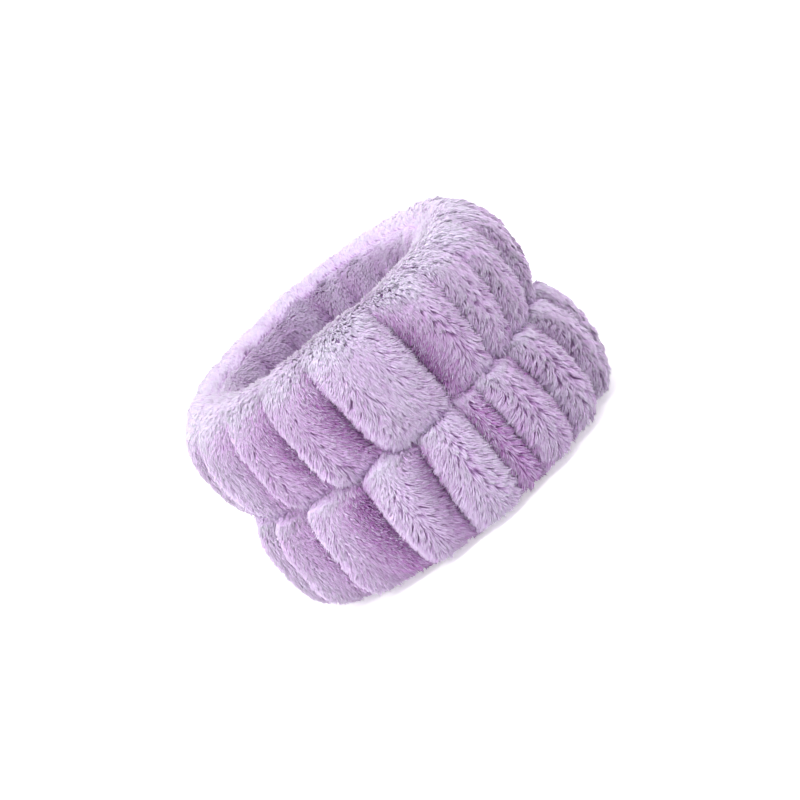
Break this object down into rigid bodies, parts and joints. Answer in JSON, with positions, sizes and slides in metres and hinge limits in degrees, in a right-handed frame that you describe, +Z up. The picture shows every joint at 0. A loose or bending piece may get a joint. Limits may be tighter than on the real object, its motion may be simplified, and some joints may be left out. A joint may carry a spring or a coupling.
{
  "type": "spa wristband",
  "caption": "Short elasticated tube of long-pile fleece in two rows of gathered puffs, worn on the wrist to soak up water while the face is washed.",
  "frame": {"origin": "centre of the lower rim's plane, on the tube's axis", "axes": "+Z up along the tube's axis, -Y towards the front half, +Y towards the rear half with the closing seam, which is also the way the band stretches"},
  "size_m": [0.102, 0.102, 0.067],
  "materials": {
    "fleece": "long-pile coral fleece, matt, lilac with pale tips",
    "elastic": "knitted elastic tape, off-white, ribbed",
    "thread": "spun polyester sewing thread, lilac"
  },
  "bodies": {
    "front": {"cover_front": "fleece", "upper_elastic_front": "elastic", "lower_elastic_front": "elastic", "middle_seam_thread_front": "thread", "long_seam_thread_front": "thread"},
    "rear": {"cover_rear": "fleece", "upper_elastic_rear": "elastic", "lower_elastic_rear": "elastic", "middle_seam_thread_rear": "thread", "long_seam_thread_rear": "thread", "closing_seam_thread": "thread", "upper_lap_thread": "thread", "lower_lap_thread": "thread"}
  },
  "joints": [
    {"name": "stretch", "type": "slide", "parent": "front", "child": "rear", "axis": [0, 1, 0], "range_m": [0, 0.03], "stiffness_N_per_m": 300}
  ]
}
